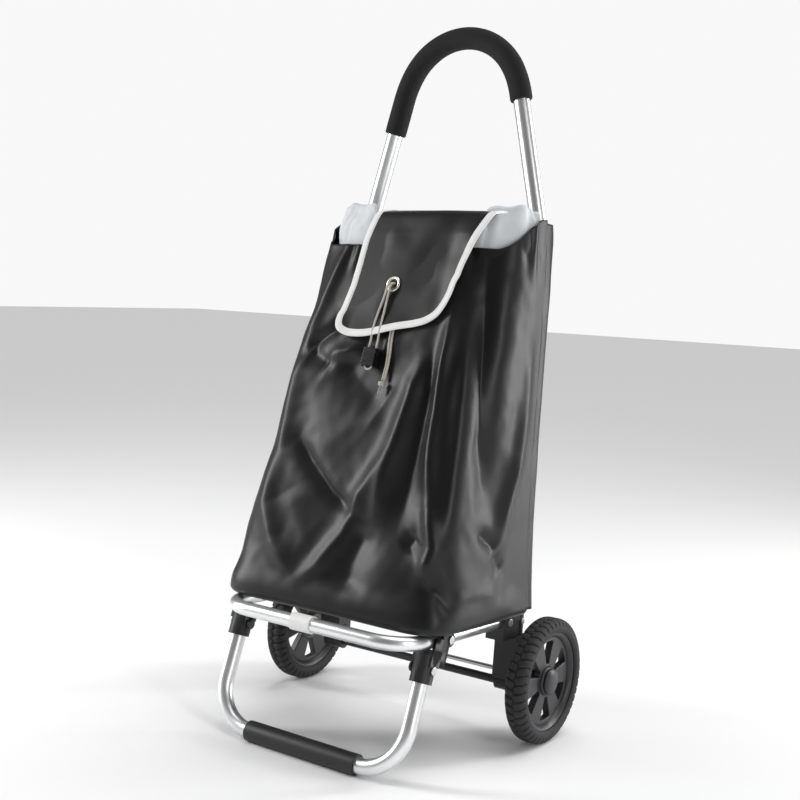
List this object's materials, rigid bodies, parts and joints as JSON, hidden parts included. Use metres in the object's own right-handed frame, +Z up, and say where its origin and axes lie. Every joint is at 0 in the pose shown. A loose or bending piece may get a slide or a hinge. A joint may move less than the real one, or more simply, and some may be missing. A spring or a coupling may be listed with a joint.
{
  "type": "shopping trolley",
  "caption": "Folding two-wheeled shopping trolley: aluminium tube frame with an arched handle, fold-up platform and stand, and a tall soft drawstring bag with a flap.",
  "frame": {"origin": "on the floor, under the middle of the part's box as it stands", "axes": "+Z up; -Y towards the front, where the platform and its stand are; +X to the right as seen from the front camera side, along the axle"},
  "size_m": [0.43, 0.3486, 0.9453],
  "materials": {
    "aluminium_tube": "satin anodised",
    "foam_grip": "matte foam",
    "black_nylon": "moulded, matt",
    "zinc_steel": "zinc plated",
    "white_plastic": "moulded, satin",
    "foot_rubber": "satin",
    "tyre_rubber": "matt",
    "wheel_plastic": "moulded, semi-gloss",
    "pale_bush": "smooth",
    "coated_fabric": "satin coating",
    "grey_lining": "woven, matt",
    "white_binding": "woven tape",
    "nickel": "pale nickel",
    "braided_cord": "braided",
    "lock_plastic": "semi-gloss"
  },
  "bodies": {
    "frame": {"handle_tube": "aluminium_tube", "grip_sleeve": "foam_grip", "upright_plugs": "black_nylon", "wheel_bracket_left": "black_nylon", "wheel_bracket_right": "black_nylon", "bracket_screws": "zinc_steel", "axle": "zinc_steel", "cross_bar": "black_nylon", "cross_bar_screws": "zinc_steel", "axle_spacers": "black_nylon", "axle_push_nuts": "zinc_steel", "platform_rivets": "zinc_steel", "bag_shell": "coated_fabric", "mouth_lining": "grey_lining", "upright_sleeve_left": "coated_fabric", "upright_sleeve_right": "coated_fabric", "flap_anchor": "coated_fabric", "drawcord_tunnel": "coated_fabric", "drawcord_left": "braided_cord", "drawcord_right": "braided_cord", "drawcord_knot": "braided_cord"},
    "platform": {"platform_tube": "aluminium_tube", "platform_end_plugs": "black_nylon", "bar_collar": "white_plastic", "stand_rivets": "zinc_steel"},
    "stand": {"stand_tube": "aluminium_tube", "stand_bracket_left": "black_nylon", "stand_bracket_right": "black_nylon", "foot_sleeve": "foot_rubber", "socket_rivets": "zinc_steel", "socket_caps": "black_nylon"},
    "wheel_left": {"tyre_left": "tyre_rubber", "rim_left": "wheel_plastic", "hub_bush_left": "pale_bush", "hub_cap_left": "wheel_plastic"},
    "wheel_right": {"tyre_right": "tyre_rubber", "rim_right": "wheel_plastic", "hub_bush_right": "pale_bush", "hub_cap_right": "wheel_plastic"},
    "flap": {"flap_panel": "coated_fabric", "flap_binding": "white_binding", "eyelet": "nickel", "toggle_cord": "braided_cord"},
    "cord_lock": {"lock_body": "lock_plastic", "lock_spring": "zinc_steel"},
    "lock_button": {"lock_plunger": "lock_plastic"}
  },
  "joints": [
    {"name": "platform_fold", "type": "hinge", "parent": "frame", "child": "platform", "pos_m": [0, 0.06466, 0.15702], "axis": [-1, 0, 0], "range_deg": [0, 90], "deforming": ["bag_shell"]},
    {"name": "stand_fold", "type": "hinge", "parent": "platform", "child": "stand", "pos_m": [0, -0.07914, 0.16456], "axis": [1, 0, 0], "range_deg": [0, 95]},
    {"name": "wheel_left_spin", "type": "hinge", "parent": "frame", "child": "wheel_left", "pos_m": [-0.199, 0.0918, 0.0825], "axis": [1, 0, 0], "continuous": true},
    {"name": "wheel_right_spin", "type": "hinge", "parent": "frame", "child": "wheel_right", "pos_m": [0.199, 0.0918, 0.0825], "axis": [1, 0, 0], "continuous": true},
    {"name": "flap_lift", "type": "hinge", "parent": "frame", "child": "flap", "pos_m": [0, 0.11151, 0.68229], "axis": [-1, 0, 0], "range_deg": [0, 110]},
    {"name": "lock_slide", "type": "slide", "parent": "flap", "child": "cord_lock", "axis": [0, 0.3147, 0.9492], "range_m": [0, 0.01]},
    {"name": "lock_press", "type": "slide", "parent": "cord_lock", "child": "lock_button", "axis": [0, -0.3147, -0.9492], "range_m": [0, 0.003], "stiffness_N_per_m": 150, "deforming": ["lock_spring"]}
  ]
}
